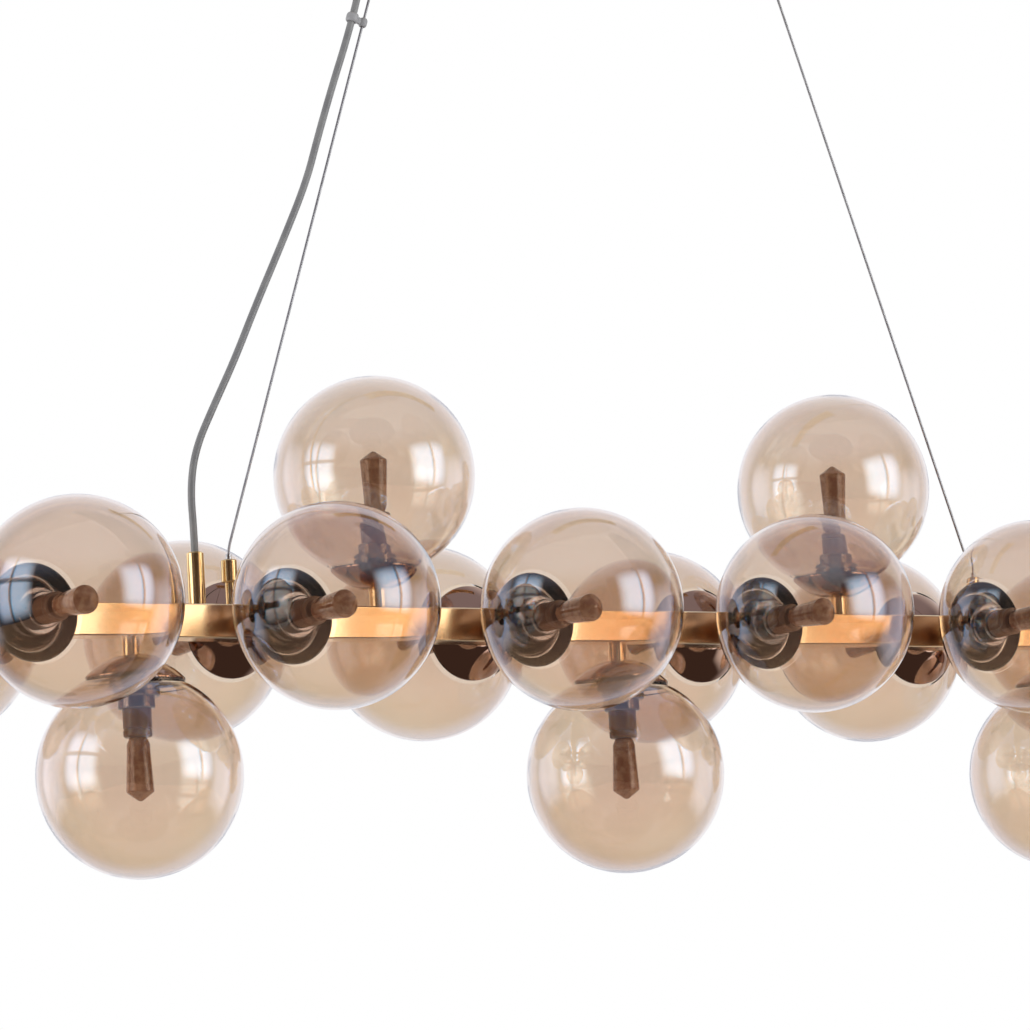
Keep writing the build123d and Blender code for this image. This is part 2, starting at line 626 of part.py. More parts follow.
def exit_fitting(diameter):
    """Outside of a ferrule or bushing: a barrel under the cover and a threaded stud through it."""
    barrel = rod(diameter / 2, CANOPY_FLOOR - FERRULE_HEIGHT, CANOPY_FLOOR)
    barrel = fillet(barrel.edges().filter_by(GeomType.CIRCLE).sort_by(Axis.Z)[0], CANOPY_WALL)
    return barrel + rod(ROD_RADIUS, CANOPY_FLOOR, CANOPY_FLOOR + FERRULE_STUD_LENGTH)


def sway_room(radius, distance):
    """Radius that a cable or cord sweeps at a distance from the pivot."""
    sway = math.radians(SWAY_ANGLE)
    return radius / math.cos(sway) + distance * math.tan(sway) + MOUTH_GAP


def cable_ferrule(side):
    """Fitting that holds the cable's ball end and lets the cable swing."""
    seat = BALL_END_DIAMETER / 2 + BALL_END_GAP
    inside = rod(seat, PIVOT_Z, CANOPY_FLOOR + FERRULE_STUD_LENGTH) + Pos(0, 0, PIVOT_Z) * Sphere(seat)
    fitting = Pos(side * CABLE_EXIT_X, 0, 0) * (exit_fitting(FERRULE_DIAMETER) - inside)
    reach = 2 * FERRULE_HEIGHT
    mouth = Cone(
        sway_room(CABLE_RADIUS, 0),
        sway_room(CABLE_RADIUS, reach),
        reach,
        align=(Align.CENTER, Align.CENTER, Align.MIN),
    )
    return fitting - along(cable_pivot(side), cable_direction(side)).location * mouth


def cord_bushing():
    """Fitting that the power cord goes up through, wide at its mouth for the swing."""
    low = CANOPY_FLOOR - FERRULE_HEIGHT
    lead_bore = CORD_RADIUS + CORD_GAP
    inside = turned([
        (0, low),
        (sway_room(CORD_RADIUS, PIVOT_Z - low), low),
        (sway_room(CORD_RADIUS, 0), PIVOT_Z),
        (sway_room(CORD_RADIUS, 0), LEAD_START),
        (lead_bore, LEAD_START),
        (lead_bore, CANOPY_FLOOR + FERRULE_STUD_LENGTH),
        (0, CANOPY_FLOOR + FERRULE_STUD_LENGTH),
    ])
    return Pos(CORD_EXIT_X, 0, 0) * (exit_fitting(BUSHING_DIAMETER) - inside)


def supply_lead():
    """Cord inside the canopy, from the bushing to the terminal block."""
    middle = -BRACKET_THICKNESS - TERMINAL_HEIGHT / 2
    start = Vector(CORD_EXIT_X, 0, LEAD_START)
    corner = Vector(CORD_EXIT_X, 0, middle)
    end = Vector(TERMINAL_END_X, 0, middle)
    bend_radius = middle - (CANOPY_FLOOR + FERRULE_STUD_LENGTH) - LEAD_STRAIGHT
    return tube(FilletPolyline(start, corner, end, radius=bend_radius), CORD_RADIUS)


def terminal_places():
    """Places of the clamping screws: two rows, one screw a pole in each."""
    step = TERMINAL_LENGTH / TERMINAL_POLES
    columns = [TERMINAL_END_X + (index + 0.5) * step for index in range(TERMINAL_POLES)]
    return [Pos(x, row * TERMINAL_WIDTH / 4, TERMINAL_FLOOR) for x in columns for row in (-1, 1)]


def terminal_block():
    middle = -BRACKET_THICKNESS - TERMINAL_HEIGHT / 2
    block = Pos(TERMINAL_X, 0, middle) * Box(TERMINAL_LENGTH, TERMINAL_WIDTH, TERMINAL_HEIGHT)
    hole = rod(TERMINAL_SCREW_DIAMETER / 2 + TERMINAL_SCREW_GAP, 0, TERMINAL_SCREW_LENGTH)
    return block - [place * hole for place in terminal_places()]


def terminal_screws():
    screw = rod(TERMINAL_SCREW_DIAMETER / 2, 0, TERMINAL_SCREW_LENGTH)
    return [place * screw for place in terminal_places()]


def earth_screw():
    return Pos(EARTH_SCREW_X, 0, -BRACKET_THICKNESS) * pan_screw(BRACKET_THICKNESS - HOLE_GAP)


def build_nodes():
    """All pieces by node name."""
    planes = lamp_planes()
    every_plane = [plane for side in planes.values() for plane in side]
    nodes = {
        "main_bar": main_bar(planes),
        "bar_end_plugs": Compound(children=[end_plug(), Rot(0, 0, 180) * end_plug()]),
        "stems": copies(stem(), every_plane),
        "hollow_rods": copies(hollow_rod(), every_plane),
        "rod_nuts": Compound(
            children=[plane.location * rod_nut() for plane in every_plane] + [on_bar(rod_nut(), GLAND_X)]
        ),
        "globe_carriers": copies(globe_carrier(), every_plane),
        "lampholders": copies(lampholder(), every_plane),
        "wiring_harness": wiring_harness(planes),
        "cord_gland_base": on_bar(gland_base(), GLAND_X),
        "cord_gland_cap": on_bar(gland_cap(), GLAND_X),
        "gripper_nuts": Compound(children=[on_bar(gripper_nut(), side * GRIPPER_X) for side in (-1, 1)]),
        "cable_ball_ends": Compound(children=[ball_end(side) for side in (-1, 1)]),
        "power_cord": power_cord(),
        "cord_clip": cord_clip(),
        "canopy_cover": canopy_cover(),
        "ceiling_bracket": ceiling_bracket(),
        "cover_screws": Compound(children=cover_screws()),
        "cable_ferrules": Compound(children=[cable_ferrule(side) for side in (-1, 1)]),
        "canopy_nuts": Compound(children=[canopy_nut(x) for x in (-CABLE_EXIT_X, CABLE_EXIT_X, CORD_EXIT_X)]),
        "cord_bushing": cord_bushing(),
        "supply_lead": supply_lead(),
        "terminal_block": terminal_block(),
        "terminal_screws": Compound(children=terminal_screws()),
        "earth_screw": earth_screw(),
    }
    for side, side_planes in planes.items():
        nodes[f"{side}_caps"] = copies(cap(), side_planes)
        nodes[f"{side}_bulbs"] = copies(bulb(), side_planes)
        for index, plane in enumerate(side_planes, start=1):
            nodes[f"{side}_globe_{index}"] = plane.location * globe()
    for name, side in (("left", -1), ("right", 1)):
        x = side * GRIPPER_X
        nodes[f"{name}_cable"] = cable(side)
        nodes[f"{name}_gripper_body"] = on_bar(gripper_body(), x)
        nodes[f"{name}_plunger"] = on_bar(plunger(), x)
        nodes[f"{name}_gripper_balls"] = Compound(children=[on_bar(ball, x) for ball in grip_balls()])
        nodes[f"{name}_gripper_spring"] = on_bar(gripper_spring(), x)
    return nodes


def main():
    os.makedirs("parts", exist_ok=True)
    for name, shape in build_nodes().items():
        export_step(shape, f"parts/{name}.step")


main()
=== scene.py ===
"""Looks of a straight chandelier: smoked glass globes on a square bar that hangs on two cables.

Metres, +Z up, +X along the bar, -Y to the front. The origin is on the ceiling, above the bar's middle.
"""

import logging
import math
from dataclasses import dataclass
from enum import Enum
from typing import Any, Callable, Iterable

import bmesh
import bpy
from mathutils import Matrix, Vector


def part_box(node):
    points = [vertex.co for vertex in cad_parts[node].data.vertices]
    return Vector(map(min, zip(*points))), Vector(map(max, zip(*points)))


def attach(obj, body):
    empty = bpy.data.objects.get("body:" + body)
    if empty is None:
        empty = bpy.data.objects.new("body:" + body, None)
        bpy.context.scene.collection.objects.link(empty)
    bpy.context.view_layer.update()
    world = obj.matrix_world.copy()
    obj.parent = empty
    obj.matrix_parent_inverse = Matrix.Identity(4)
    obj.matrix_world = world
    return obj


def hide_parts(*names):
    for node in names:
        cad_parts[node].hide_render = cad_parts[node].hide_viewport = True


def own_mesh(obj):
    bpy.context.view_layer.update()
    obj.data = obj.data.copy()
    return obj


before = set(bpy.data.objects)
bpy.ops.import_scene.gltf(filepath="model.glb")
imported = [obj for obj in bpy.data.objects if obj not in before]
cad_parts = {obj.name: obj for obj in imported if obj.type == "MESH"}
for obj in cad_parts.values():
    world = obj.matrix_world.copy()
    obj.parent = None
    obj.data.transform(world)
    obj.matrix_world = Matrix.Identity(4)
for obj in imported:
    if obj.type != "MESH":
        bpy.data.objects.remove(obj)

Pair = tuple[float, float]
Point = tuple[float, float, float]
Colour = tuple[float, float, float]
Outline = list[Pair]
Material = bpy.types.Material
Mesh = bmesh.types.BMesh
Piece = bpy.types.Object

LOG = logging.getLogger("chandelier")
HANGING_BODY = "fixture"
CORNER_ANGLE = math.radians(24)
MERGE_DISTANCE = 1e-6
WHITE = (1.0, 1.0, 1.0, 1.0)


class Side(Enum):
    """Sides of the bar that carry lamps, each with its outward direction."""

    FRONT = (0.0, -1.0, 0.0)
    BACK = (0.0, 1.0, 0.0)
    TOP = (0.0, 0.0, 1.0)
    BOTTOM = (0.0, 0.0, -1.0)

    @property
    def word(self) -> str:
        """Name of the side as the frame's nodes have it."""
        return self.name.lower()

    @property
    def outward(self) -> Vector:
        """Direction from the bar's axis out along a lamp."""
        return Vector(self.value)


class Slot(Enum):
    """Material slots of the record."""

    GLASS = "amber_glass"
    ROSE_GOLD = "rose_gold"
    YELLOW_GOLD = "yellow_gold"
    GUNMETAL = "gunmetal"
    CERAMIC = "dark_ceramic"
    BULB = "smoked_bulb"
    CABLE = "cable_steel"
    CORD = "cord_grey"
    CLIP = "clip_grey"
    ZINC = "zinc_steel"
    WIRE = "wire_insulation"
    TERMINAL = "terminal_plastic"


@dataclass(frozen=True)
class Wire:
    """Output of a shader node that takes part in Python arithmetic."""

    board: "ShaderBoard"
    socket: bpy.types.NodeSocket | None

    def _maths(self, operation: str, first: Any, second: Any) -> "Wire":
        """Result of a Math node on two values or wires."""
        return self.board.node("ShaderNodeMath", {0: first, 1: second}, operation=operation)

    def __add__(self, other: Any) -> "Wire":
        """Sum."""
        return self._maths("ADD", self, other)

    def __radd__(self, other: Any) -> "Wire":
        """Sum with a number on the left."""
        return self._maths("ADD", other, self)

    def __sub__(self, other: Any) -> "Wire":
        """Difference."""
        return self._maths("SUBTRACT", self, other)

    def __rsub__(self, other: Any) -> "Wire":
        """Difference from a number on the left."""
        return self._maths("SUBTRACT", other, self)

    def __mul__(self, other: Any) -> "Wire":
        """Product."""
        return self._maths("MULTIPLY", self, other)

    def __rmul__(self, other: Any) -> "Wire":
        """Product with a number on the left."""
        return self._maths("MULTIPLY", other, self)

    def __gt__(self, other: Any) -> "Wire":
        """1 where the value is larger, else 0."""
        return self._maths("GREATER_THAN", self, other)

    def __lt__(self, other: Any) -> "Wire":
        """1 where the value is smaller, else 0."""
        return self._maths("LESS_THAN", self, other)

    def ramp(self, low: float, high: float) -> "Wire":
        """Smooth step from 0 at the low value to 1 at the high one."""
        inputs = {"Value": self, "From Min": low, "From Max": high}
        return self.board.node("ShaderNodeMapRange", inputs, interpolation_type="SMOOTHSTEP")


class ShaderBoard:
    """Node tree of a material or of the world, filled by code."""

    def __init__(self, tree: bpy.types.NodeTree) -> None:
        """Empties the tree."""
        self.tree = tree
        tree.nodes.clear()

    def node(
        self, kind: str, inputs: dict[Any, Any] | None = None, output: int | str = 0, **settings: Any
    ) -> Wire:
        """Adds one node.

        Args:
            kind: Blender's type name of the node.
            inputs: values or wires by the socket's name or place.
            output: name or place of the socket that is returned.
            settings: the node's own settings, set first.

        Returns:
            One output of the new node.
        """
        made = self.tree.nodes.new(kind)
        for name, value in settings.items():
            setattr(made, name, value)
        for name, value in (inputs or {}).items():
            if isinstance(value, Wire):
                self.tree.links.new(value.socket, made.inputs[name])
            else:
                made.inputs[name].default_value = value
        return Wire(self, made.outputs[output] if made.outputs else None)

    def place(self) -> Wire:
        """Object coordinates."""
        return self.node("ShaderNodeTexCoord", output="Object")

    def path(self, output: str) -> Wire:
        """One output of the light path."""
        return self.node("ShaderNodeLightPath", output=output)

    def attribute(self, name: str) -> Wire:
        """Number that the mesh keeps at each point."""
        return self.node("ShaderNodeAttribute", None, "Fac", attribute_name=name)

    def straight(self) -> Wire:
        """1 where the camera sees directly or through clear glass, else 0."""
        return self.path("Diffuse Depth") + self.path("Glossy Depth") < 0.5

    def noise(self, size: float, detail: float) -> Wire:
        """Noise about a half, with patches of a size in metres and octaves of finer detail."""
        inputs = {"Vector": self.place(), "Scale": 1 / size, "Detail": detail}
        return self.node("ShaderNodeTexNoise", inputs)

    def colours(self, share: Wire, first: Colour | Wire, second: Colour | Wire) -> Wire:
        """Blend of two colours by a share of the second."""
        ends = [end if isinstance(end, Wire) else (*end, 1.0) for end in (first, second)]
        return self.node("ShaderNodeMix", {0: share, 6: ends[0], 7: ends[1]}, 2, data_type="RGBA")

    def bump(self, height: Wire, distance: float, normal: Wire | None = None) -> Wire:
        """Normal bent by a height.

        Args:
            height: value from 0 to 1.
            distance: metres that a height of 1 stands for.
            normal: normal that is bent, or None for the surface's own.

        Returns:
            The bent normal.
        """
        inputs = {"Height": height, "Distance": distance}
        if normal is not None:
            inputs["Normal"] = normal
        return self.node("ShaderNodeBump", inputs)


def new_material(name: str, build: Callable[[ShaderBoard], Wire]) -> Material:
    """Makes a material from a function that adds its nodes.

    Args:
        name: the material's name.
        build: adds the nodes to a board and returns the surface shader.

    Returns:
        The material.
    """
    material = bpy.data.materials.new(name)
    material.use_nodes = True
    board = ShaderBoard(material.node_tree)
    surface = build(board)
    board.node("ShaderNodeOutputMaterial", {"Surface": surface})
    return material


@dataclass(frozen=True)
class Finish:
    """Finish of a piece, made of shader nodes."""

    name: str

    def surface(self, board: ShaderBoard) -> Wire:
        """Adds the nodes and returns the surface."""
        raise NotImplementedError

    def material(self) -> Material:
        """Makes the material."""
        return new_material(self.name, self.surface)


@dataclass(frozen=True)
class PolishedMetal(Finish):
    """Plated or polished metal with faint wiped patches and the ripple of hand polish."""

    colour: Colour
    dull: Colour
    roughness: float
    smear: float = 0.06
    smear_size: float = 0.035
    smear_edges: Pair = (0.35, 0.75)
    ripple: float = 0.00002
    ripple_size: float = 0.05
    turned_lines: float = 0.0
    line_pitch: float = 0.0006

    def surface(self, board: ShaderBoard) -> Wire:
        """Adds the nodes and returns the surface."""
        patches = board.noise(self.smear_size, detail=4.0).ramp(*self.smear_edges)
        normal = board.bump(board.noise(self.ripple_size, detail=1.0), self.ripple)
        if self.turned_lines:
            radial = board.attribute("radial") * (math.tau / self.line_pitch)
            lines = board.node("ShaderNodeMath", {0: radial}, operation="SINE")
            normal = board.bump(lines, self.turned_lines, normal)
        inputs = {
            "Base Color": board.colours(patches, self.colour, self.dull),
            "Metallic": 1.0,
            "Roughness": patches * self.smear + self.roughness,
            "Normal": normal,
        }
        return board.node("ShaderNodeBsdfPrincipled", inputs)


@dataclass(frozen=True)
class CapPlate(Finish):
    """Plate of the caps: reddish outside. Inside, a pale centre that is a painted reflection, near-black
    painted shade round it, and a bright ring on the bead that is a painted glint.
    """

    outside: Colour
    heart: Colour
    # Near-black: painted shade standing in for the dark reflections round the pale centre.
    inside: Colour
    # Colour of a painted glint along the bead.
    bead: Colour
    heart_radii: Pair
    glint_ring_radius: float
    glint_ring_half: float
    roughness: float = 0.045
    smear: float = 0.05
    smear_size: float = 0.03
    smear_edges: Pair = (0.35, 0.75)
    ripple: float = 0.00002
    ripple_size: float = 0.05

    def surface(self, board: ShaderBoard) -> Wire:
        """Adds the nodes and returns the surface."""
        patches = board.noise(self.smear_size, detail=3.0).ramp(*self.smear_edges)
        hollow = board.attribute("hollow")
        radial = board.attribute("radial")
        # A bright ring at the bead's radius: a painted glint, not light that the plate reflects.
        offset = radial - self.glint_ring_radius
        bead = 1.0 - (offset * offset).ramp(0.0, self.glint_ring_half**2)
        # Pale centre: a painted reflection of the windows, fading into the near-black painted shade round
        # it.
        within = board.colours(radial.ramp(*self.heart_radii), self.heart, self.inside)
        plate = board.colours(hollow, self.outside, within)
        inputs = {
            "Base Color": board.colours(bead * hollow, plate, self.bead),
            "Metallic": 1.0,
            "Roughness": patches * self.smear + self.roughness,
            "Normal": board.bump(board.noise(self.ripple_size, detail=1.0), self.ripple),
        }
        return board.node("ShaderNodeBsdfPrincipled", inputs)


@dataclass(frozen=True)
class LustreGlass(Finish):
    """Blown glass with an amber tint and a pearly lustre on its surface."""

    tint: Colour
    blush: Colour
    shadow_tint: Colour
    ior: float = 1.5
    film_thickness: float = 195.0
    film_ior: float = 1.8
    cloud_size: float = 0.09
    cloud_edges: Pair = (0.3, 0.7)
    wave: float = 0.0002
    wave_size: float = 0.045

    def surface(self, board: ShaderBoard) -> Wire:
        """Adds the nodes and returns the surface."""
        cloud = board.noise(self.cloud_size, detail=1.0).ramp(*self.cloud_edges)
        inputs = {
            "Base Color": board.colours(cloud, self.tint, self.blush),
            "Roughness": 0.0,
            "IOR": self.ior,
            "Transmission Weight": 1.0,
            "Thin Film Thickness": self.film_thickness,
            "Thin Film IOR": self.film_ior,
            "Normal": board.bump(board.noise(self.wave_size, detail=1.0), self.wave),
        }
        glass = board.node("ShaderNodeBsdfPrincipled", inputs)
        clear = board.node("ShaderNodeBsdfTransparent", {"Color": (*self.shadow_tint, 1.0)})
        return board.node("ShaderNodeMixShader", {0: board.path("Is Shadow Ray"), 1: glass, 2: clear})


@dataclass(frozen=True)
class SmokedBulb(Finish):
    """Brown glass of a small capsule bulb, with paler streaks along it."""

    body: Colour
    streak: Colour
    roughness: float = 0.12
    coat: float = 0.8
    coat_roughness: float = 0.04
    streak_size: float = 0.006
    streak_edges: Pair = (0.35, 0.7)
    grain: float = 0.0001
    grain_size: float = 0.004

    def surface(self, board: ShaderBoard) -> Wire:
        """Adds the nodes and returns the surface."""
        cloud = board.noise(self.streak_size, detail=3.0).ramp(*self.streak_edges)
        inputs = {
            "Base Color": board.colours(cloud, self.body, self.streak),
            "Roughness": cloud * self.roughness + self.roughness,
            "Coat Weight": self.coat,
            "Coat Roughness": self.coat_roughness,
            "Normal": board.bump(board.noise(self.grain_size, detail=2.0), self.grain),
        }
        return board.node("ShaderNodeBsdfPrincipled", inputs)


@dataclass(frozen=True)
class MouldedStuff(Finish):
    """Plastic, ceramic or rubber: a fine grain and faint variation in colour and gloss."""

    colour: Colour
    worn: Colour
    roughness: float
    grain_size: float = 0.0008
    grain: float = 0.00002
    coat: float = 0.0
    smear: float = 0.12
    smear_size: float = 0.02
    smear_edges: Pair = (0.35, 0.7)

    def surface(self, board: ShaderBoard) -> Wire:
        """Adds the nodes and returns the surface."""
        cloud = board.noise(self.smear_size, detail=4.0).ramp(*self.smear_edges)
        inputs = {
            "Base Color": board.colours(cloud, self.colour, self.worn),
            "Roughness": cloud * self.smear + self.roughness,
            "Coat Weight": self.coat,
            "Normal": board.bump(board.noise(self.grain_size, detail=2.0), self.grain),
        }
        return board.node("ShaderNodeBsdfPrincipled", inputs)


@dataclass(frozen=True)
class Finishes:
    """Every finish of the chandelier, as materials."""

    glass: Material
    bare_glass: Material
    rose_gold: Material
    yellow_gold: Material
    gunmetal: Material
    cap_plate: Material
    ceramic: Material
    bulb: Material
    cable: Material
    cord: Material
    clip: Material
    zinc: Material
    wire: Material
    terminal: Material

    @classmethod
    def make(cls) -> "Finishes":
        """Makes all the materials."""
        finishes = {
            "glass": LustreGlass(
                "amber_lustre_glass", (0.860, 0.770, 0.676), (0.842, 0.732, 0.642), (0.82, 0.64, 0.50)
            ),
            "bare_glass": LustreGlass(
                "bare_glass",
                (0.92, 0.86, 0.80),
                (0.90, 0.83, 0.76),
                (0.90, 0.80, 0.70),
                ior=1.2,
                film_thickness=0.0,
            ),
            "rose_gold": PolishedMetal("polished_rose_gold", (0.99, 0.82, 0.55), (0.97, 0.76, 0.47), 0.17),
            "yellow_gold": PolishedMetal(
                "polished_yellow_gold", (0.82, 0.61, 0.33), (0.64, 0.45, 0.21), 0.06
            ),
            "gunmetal": PolishedMetal(
                "gunmetal_turned", (0.24, 0.22, 0.22), (0.17, 0.14, 0.13), 0.06, turned_lines=0.000003
            ),
            "cap_plate": CapPlate(
                "gunmetal_plate",
                outside=(0.42, 0.27, 0.20),
                # Pale centre colour: a painted reflection.
                heart=(0.95, 0.89, 0.82),
                # Inside colour: near-black painted shade for the dark reflections round the centre.
                inside=(0.06, 0.063, 0.072),
                # Bead colour: a painted glint.
                bead=(0.80, 0.84, 0.90),
                heart_radii=(0.017, 0.024),
                glint_ring_radius=0.0265,
                glint_ring_half=0.0020,
            ),
            "ceramic": MouldedStuff(
                "dark_glazed_ceramic", (0.110, 0.056, 0.028), (0.14, 0.080, 0.044), 0.32, coat=0.25
            ),
            "bulb": SmokedBulb("smoked_bulb_glass", (0.185, 0.100, 0.062), (0.30, 0.195, 0.130)),
            "cable": PolishedMetal(
                "drawn_steel", (0.52, 0.52, 0.53), (0.42, 0.42, 0.43), 0.5, smear_size=0.01
            ),
            "cord": MouldedStuff("grey_cord_jacket", (0.165, 0.165, 0.170), (0.21, 0.21, 0.21), 0.30),
            "clip": MouldedStuff("grey_clip_plastic", (0.24, 0.24, 0.25), (0.30, 0.30, 0.31), 0.35),
            "zinc": PolishedMetal(
                "zinc_plated_steel", (0.66, 0.67, 0.68), (0.48, 0.50, 0.53), 0.24, smear_size=0.008
            ),
            "wire": MouldedStuff("wire_sleeve", (0.05, 0.05, 0.052), (0.08, 0.08, 0.08), 0.45),
            "terminal": MouldedStuff("terminal_block", (0.75, 0.74, 0.70), (0.66, 0.64, 0.58), 0.4),
        }
        return cls(**{name: finish.material() for name, finish in finishes.items()})

    def by_slot(self) -> dict[Slot, Material]:
        """Materials of the nodes that keep their shape, by the record's slots."""
        return {
            Slot.ROSE_GOLD: self.rose_gold,
            Slot.YELLOW_GOLD: self.yellow_gold,
            Slot.CORD: self.cord,
            Slot.ZINC: self.zinc,
            Slot.WIRE: self.wire,
            Slot.TERMINAL: self.terminal,
        }


def arc(centre: float, radius: float, start: float, end: float, steps: int) -> Outline:
    """Points of a sphere's outline below its centre.

    Args:
        centre: height of the sphere's centre on the axis.
        radius: the sphere's radius.
        start: distance from the axis of the first point.
        end: distance from the axis of the last point.
        steps: stretches between the points.

    Returns:
        Pairs of distance from the axis and height, evenly spaced along the arc.
    """
    first = math.asin(start / radius)
    last = math.asin(end / radius)
    angles = [first + (last - first) * step / steps for step in range(steps + 1)]
    return [(radius * math.sin(angle), centre - radius * math.cos(angle)) for angle in angles]


def turn(outline: Outline, steps: int, softened: float, closed: bool = True) -> Mesh:
    """Turns an outline about Z.

    Args:
        outline: pairs of distance from the axis and height.
        steps: faces round the axis.
        softened: metres taken off each sharp ring.
        closed: True where the last point joins the first, as round a bore.

    Returns:
        A closed mesh with its faces outwards, which keeps each point's distance from the axis.
    """
    mesh = bmesh.new()
    points = [mesh.verts.new((radius, 0, height)) for radius, height in outline]
    pairs = list(zip(points, points[1:]))
    if closed:
        pairs.append((points[-1], points[0]))
    edges = [mesh.edges.new(pair) for pair in pairs]
    bmesh.ops.spin(
        mesh,
        geom=points + edges,
        cent=(0, 0, 0),
        axis=(0, 0, 1),
        angle=math.tau,
        steps=steps,
        use_merge=True,
    )
    bmesh.ops.remove_doubles(mesh, verts=mesh.verts, dist=MERGE_DISTANCE)
    bmesh.ops.recalc_face_normals(mesh, faces=mesh.faces)
    soften(mesh, softened)
    radial = mesh.verts.layers.float.new("radial")
    for point in mesh.verts:
        point[radial] = math.hypot(point.co.x, point.co.y)
    return mesh


def soften(mesh: Mesh, width: float) -> None:
    """Rounds the sharp edges of a mesh.

    Args:
        mesh: mesh to change.
        width: metres taken off each side of an edge.
    """
    sharp = [edge for edge in mesh.edges if edge.is_manifold and edge.calc_face_angle() > CORNER_ANGLE]
    bmesh.ops.bevel(
        mesh,
        geom=sharp,
        offset=width,
        offset_type="OFFSET",
        segments=2,
        profile=0.5,
        affect="EDGES",
        clamp_overlap=True,
        material=-1,
    )


def gathered(parts: Iterable[tuple[Mesh, Matrix]]) -> Mesh:
    """Copies meshes into one.

    Args:
        parts: meshes, each with the place that its copy takes.

    Returns:
        One mesh with all the copies.
    """
    whole = bmesh.new()
    for part, place in parts:
        copy = bpy.data.meshes.new("copy")
        part.to_mesh(copy)
        copy.transform(place)
        whole.from_mesh(copy)
        bpy.data.meshes.remove(copy)
    return whole


def hang(piece: Piece, node: str, body: str) -> None:
    """Adds a piece to the scene, on its body and in place of a node.

    Args:
        piece: the new piece.
        node: node of the frame that it stands for.
        body: the body that carries it.
    """
    bpy.context.scene.collection.objects.link(piece)
    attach(piece, body)
    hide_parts(node)


def show(
    mesh: Mesh, node: str, word: str, body: str, material: Material, flats: bool = True
) -> Piece:
    """Makes a piece from a mesh and hangs it on its body.

    Args:
        mesh: the finished mesh, in the part's frame.
        node: node of the frame that the piece stands for.
        word: what the piece's name adds to the node's.
        body: the body that carries it.
        material: its finish.
        flats: True where flat faces meet rounded edges, which then stay flat.

    Returns:
        The piece.
    """
    name = f"{node}_{word}"
    data = bpy.data.meshes.new(name)
    mesh.to_mesh(data)
    mesh.free()
    data.shade_smooth()
    data.materials.append(material)
    piece = bpy.data.objects.new(name, data)
    if flats:
        piece.modifiers.new("flat_faces", "WEIGHTED_NORMAL")
    hang(piece, node, body)
    LOG.info("%s: %d faces on %s", name, len(data.polygons), body)
    return piece


def spline_cord(
    node: str, word: str, route: list[Vector], diameter: float, material: Material
) -> Piece:
    """Makes a round cord on one smooth spline and hangs it.

    Args:
        node: node of the frame that the cord stands for.
        word: what the cord's name adds to the node's.
        route: control points.
        diameter: thickness of the cord.
        material: its finish.

    Returns:
        The curve object.
    """
    name = f"{node}_{word}"
    curve = bpy.data.curves.new(name, "CURVE")
    curve.dimensions = "3D"
    spline = curve.splines.new("NURBS")
    spline.points.add(len(route) - 1)
    for point, place in zip(spline.points, route):
        point.co = (*place, 1.0)
    spline.order_u = 3
    spline.use_endpoint_u = True
    spline.resolution_u = 16
    curve.bevel_depth = diameter / 2
    curve.bevel_resolution = 6
    curve.use_fill_caps = True
    curve.materials.append(material)
    piece = bpy.data.objects.new(name, curve)
    hang(piece, node, HANGING_BODY)
    LOG.info("%s: %d points on %s", name, len(route), HANGING_BODY)
    return piece


def lamp_places(side: Side) -> list[Matrix]:
    """Places of one side's lamps, from the frame.

    Args:
        side: side of the bar.

    Returns:
        For each lamp, the turn and move from its own axis, Z outwards from the bar's axis.
    """
    low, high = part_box("main_bar")
    axis_height = (low.z + high.z) / 2
    turn_out = Vector((0, 0, 1)).rotation_difference(side.outward).to_matrix().to_4x4()
    places = []
    for name in sorted(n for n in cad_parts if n.startswith(f"{side.word}_globe_")):
        low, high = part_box(name)
        places.append(Matrix.Translation(((low.x + high.x) / 2, 0, axis_height)) @ turn_out)
    return places


def every_lamp() -> list[Matrix]:
    """Places of all the lamps."""
    return [place for side in Side for place in lamp_places(side)]


@dataclass
class Globes:
    """Blown glass globes with a short neck that screws on the carrier, without lustre over the cap."""

    glass: Material
    bare_glass: Material
    radius: float = 0.075
    wall: float = 0.002
    bare_radius: float = 0.0375
    centre: float = 0.11124
    neck_radius: float = 0.0198
    neck_length: float = 0.005
    columns: int = 96
    rows: int = 64

    def shell(self) -> Mesh:
        """Makes one globe about its lamp's axis."""
        mesh = bmesh.new()
        bmesh.ops.create_uvsphere(
            mesh,
            u_segments=self.columns,
            v_segments=self.rows,
            radius=self.radius,
            matrix=Matrix.Translation((0, 0, self.centre)),
        )
        foot = self.centre - math.sqrt(self.radius**2 - self.neck_radius**2)
        bmesh.ops.bisect_plane(
            mesh,
            geom=mesh.verts[:] + mesh.edges[:] + mesh.faces[:],
            plane_co=(0, 0, foot),
            plane_no=(0, 0, -1),
            clear_outer=True,
        )
        mouth = [edge for edge in mesh.edges if edge.is_boundary]
        neck = bmesh.ops.extrude_edge_only(mesh, edges=mouth)["geom"]
        moved = [part for part in neck if isinstance(part, bmesh.types.BMVert)]
        bmesh.ops.translate(mesh, verts=moved, vec=(0, 0, -self.neck_length))
        bmesh.ops.recalc_face_normals(mesh, faces=mesh.faces)
        bmesh.ops.solidify(mesh, geom=mesh.faces[:], thickness=self.wall)
        for face in mesh.faces:
            middle = face.calc_center_median()
            masked = middle.z < self.centre and middle.xy.length < self.bare_radius
            face.material_index = 1 if masked else 0
        return mesh

    def build(self) -> None:
        """Makes every globe, each on its own body."""
        for side in Side:
            for index, place in enumerate(lamp_places(side), start=1):
                node = f"{side.word}_globe_{index}"
                mesh = self.shell()
                bmesh.ops.transform(mesh, matrix=place, verts=mesh.verts)
                piece = show(mesh, node, "glass", node, self.glass, flats=False)
                piece.data.materials.append(self.bare_glass)


